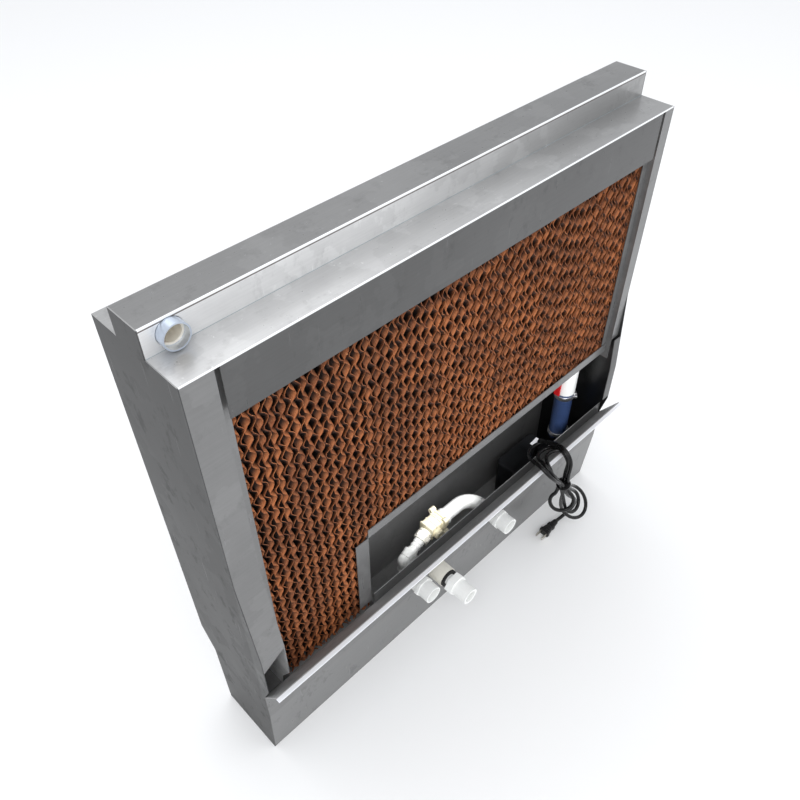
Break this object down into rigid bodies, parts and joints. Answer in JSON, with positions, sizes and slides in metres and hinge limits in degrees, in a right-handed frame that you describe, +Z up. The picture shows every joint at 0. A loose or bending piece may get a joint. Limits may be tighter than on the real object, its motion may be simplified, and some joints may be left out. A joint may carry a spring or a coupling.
{
  "type": "evaporative cooling pad",
  "caption": "Evaporative cooling pad unit for a livestock house: galvanised sheet case, corrugated cellulose pads over a water sump, pump bay with valve and hose, top spray hood.",
  "frame": {"origin": "middle of the unit's overall width and depth, fittings included, on the floor", "axes": "+X to the right seen from the pad face, +Y to the back, +Z up"},
  "size_m": [0.78, 0.2204, 0.7928],
  "materials": {
    "galvanised_sheet": "satin",
    "cellulose_pad": "matte",
    "white_pvc": "semi-gloss",
    "cream_plastic": "satin",
    "black_rubber": "matte",
    "red_plastic": "satin",
    "navy_hose": "satin",
    "clamp_steel": "bright",
    "pump_plastic": "satin",
    "cord_rubber": "semi-gloss"
  },
  "bodies": {
    "case": {"bay_back_panel": "galvanised_sheet", "bay_side": "galvanised_sheet", "bay_sill": "galvanised_sheet", "cord_hank": "cord_rubber", "cord_lead": "cord_rubber", "cord_plug": "cord_rubber", "cord_tail": "cord_rubber", "coupler_adapter": "white_pvc", "coupler_body": "cream_plastic", "coupler_nut": "white_pvc", "coupler_washer": "black_rubber", "drain_nut": "white_pvc", "drain_socket": "white_pvc", "front_header": "galvanised_sheet", "hose_clamp_lower": "clamp_steel", "hose_clamp_upper": "clamp_steel", "inlet_nut": "white_pvc", "inlet_pipe": "white_pvc", "inlet_socket": "white_pvc", "inlet_union": "cream_plastic", "inlet_valve": "cream_plastic", "left_end_plate": "galvanised_sheet", "left_front_stop": "galvanised_sheet", "left_jamb": "galvanised_sheet", "left_rear_stop": "galvanised_sheet", "narrow_pad": "cellulose_pad", "outlet_elbow": "cream_plastic", "outlet_nipple": "cream_plastic", "outlet_nut": "cream_plastic", "pad_rest": "galvanised_sheet", "pad_tray": "galvanised_sheet", "pump_body": "pump_plastic", "pump_foot_1": "pump_plastic", "pump_foot_2": "pump_plastic", "pump_foot_3": "pump_plastic", "pump_foot_4": "pump_plastic", "pump_hose": "navy_hose", "pump_volute": "pump_plastic", "rear_header": "galvanised_sheet", "right_end_plate": "galvanised_sheet", "right_front_stop": "galvanised_sheet", "right_jamb_lower": "galvanised_sheet", "right_jamb_upper": "galvanised_sheet", "right_rear_stop": "galvanised_sheet", "riser_pipe": "white_pvc", "riser_valve": "cream_plastic", "spray_elbow": "white_pvc", "spray_hood": "galvanised_sheet", "spray_pipe": "white_pvc", "sump_trough": "galvanised_sheet", "supply_stub": "galvanised_sheet", "wide_pad": "cellulose_pad"},
    "lever": {"valve_lever": "red_plastic"}
  },
  "joints": [
    {"name": "valve_lever_turn", "type": "hinge", "parent": "case", "child": "lever", "pos_m": [0.3216, 0.02035, 0.272], "axis": [1, 0, 0], "range_deg": [0, 90]}
  ]
}
